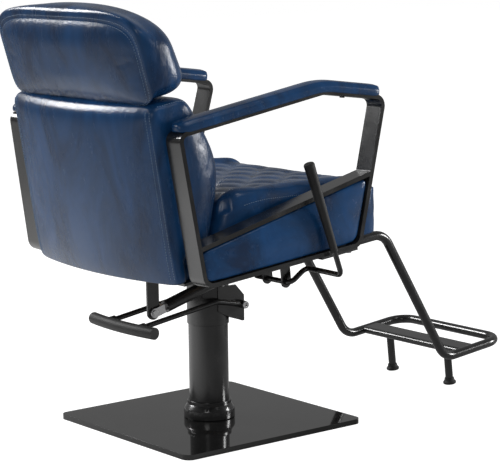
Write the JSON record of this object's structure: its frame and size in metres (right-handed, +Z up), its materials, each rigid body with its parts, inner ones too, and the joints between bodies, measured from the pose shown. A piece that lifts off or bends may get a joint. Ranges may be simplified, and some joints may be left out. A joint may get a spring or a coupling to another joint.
{
  "type": "hydraulic barber chair",
  "caption": "Reclining salon chair with padded seat, back, headrest and looped arms on a square base, with a foot pump, recline lever and tubular footrest.",
  "frame": {"origin": "centre of the square base plate's underside, on the floor", "axes": "+Z up along the column, front of the seat and footrest to -Y, the sitter's right (recline lever) to -X"},
  "size_m": [0.7186, 1.1745, 0.975],
  "materials": {
    "black_steel": "satin black paint",
    "dark_screws": "blackened",
    "bright_steel": "zinc plated",
    "nylon": "matt",
    "bronze": "machined",
    "plywood": "bare",
    "blue_leather": "glossy, mottled",
    "black_rubber": "satin"
  },
  "bodies": {
    "base": {"base_plate": "black_steel", "base_screws": "dark_screws", "rod_screw": "dark_screws", "column_tube": "black_steel", "base_collar": "black_steel", "piston_rod": "bright_steel"},
    "bush": {"guide_bush": "nylon"},
    "chair": {"pump_cylinder": "bright_steel", "cylinder_gland": "bronze", "pump_head": "black_steel", "pedal_bracket": "black_steel", "pedal_bolts": "bright_steel", "seat_mount": "black_steel", "mount_bolts": "bright_steel", "seat_frame": "black_steel", "seat_board": "plywood", "seat_cushion": "blue_leather", "side_panel_right": "blue_leather", "side_panel_left": "blue_leather", "arm_frame_right": "black_steel", "arm_frame_left": "black_steel", "arm_pad_right": "blue_leather", "arm_pad_left": "blue_leather", "pad_screws": "dark_screws", "hinge_plates": "black_steel", "hinge_pins": "bright_steel", "footrest_sockets": "black_steel", "footrest_bolts": "bright_steel", "footrest_frame": "black_steel", "footrest_plate": "black_steel", "footrest_legs": "black_steel", "foot_pads": "black_rubber", "lever_bracket": "black_steel", "bracket_bolts": "dark_screws", "strut_anchor": "black_steel", "anchor_pin": "bright_steel"},
    "backrest": {"back_frame": "black_steel", "back_cushion": "blue_leather", "back_panel": "blue_leather", "recline_arm": "black_steel"},
    "headrest": {"headrest_posts": "bright_steel", "headrest_cushion": "blue_leather"},
    "strut_rod": {"strut_rod": "bright_steel", "release_head": "black_steel"},
    "button": {"release_button": "bright_steel"},
    "strut_tube": {"strut_tube": "black_steel", "strut_clevis": "bright_steel", "clevis_pin": "bright_steel"},
    "lever": {"release_lever": "black_steel", "lever_grip": "black_rubber"},
    "pedal": {"pedal_frame": "black_steel", "pedal_grip": "black_rubber"}
  },
  "joints": [
    {"name": "swivel", "type": "hinge", "parent": "base", "child": "bush", "pos_m": [0, 0, 0.2], "axis": [0, 0, 1], "continuous": true},
    {"name": "pump_lift", "type": "slide", "parent": "bush", "child": "chair", "axis": [0, 0, 1], "range_m": [0, 0.12]},
    {"name": "recline", "type": "hinge", "parent": "chair", "child": "backrest", "pos_m": [0, 0.21101, 0.41337], "axis": [-1, 0, 0], "range_deg": [0, 35]},
    {"name": "headrest_slide", "type": "slide", "parent": "backrest", "child": "headrest", "axis": [0, 0.1599, 0.9871], "range_m": [0, 0.07]},
    {"name": "strut_pivot", "type": "hinge", "parent": "chair", "child": "strut_rod", "pos_m": [-0.075, -0.112, 0.3845], "axis": [1, 0, 0], "range_deg": [0, 0.8408]},
    {"name": "strut_slide", "type": "slide", "parent": "strut_rod", "child": "strut_tube", "axis": [0, -0.9618, 0.2739], "range_m": [0, 0.0721]},
    {"name": "lever_pull", "type": "hinge", "parent": "chair", "child": "lever", "pos_m": [-0.075, -0.062, 0.347], "axis": [-1, 0, 0], "range_deg": [0, 8], "stiffness_Nm_per_rad": 6, "springref_deg": -8.59},
    {"name": "button_press", "type": "slide", "parent": "strut_rod", "child": "button", "axis": [0, 0.2739, 0.9618], "range_m": [0, 0.004]},
    {"name": "foot_pedal", "type": "hinge", "parent": "chair", "child": "pedal", "pos_m": [0, -0.057, 0.2755], "axis": [-1, 0, 0], "range_deg": [0, 18], "stiffness_Nm_per_rad": 12, "springref_deg": -20.05}
  ],
  "couplings": [
    {"joint": "strut_pivot", "follows": "recline", "ratio": 0.02402},
    {"joint": "strut_slide", "follows": "recline", "m_per_rad": 0.11797},
    {"joint": "button_press", "follows": "lever_pull", "m_per_rad": 0.028648}
  ]
}
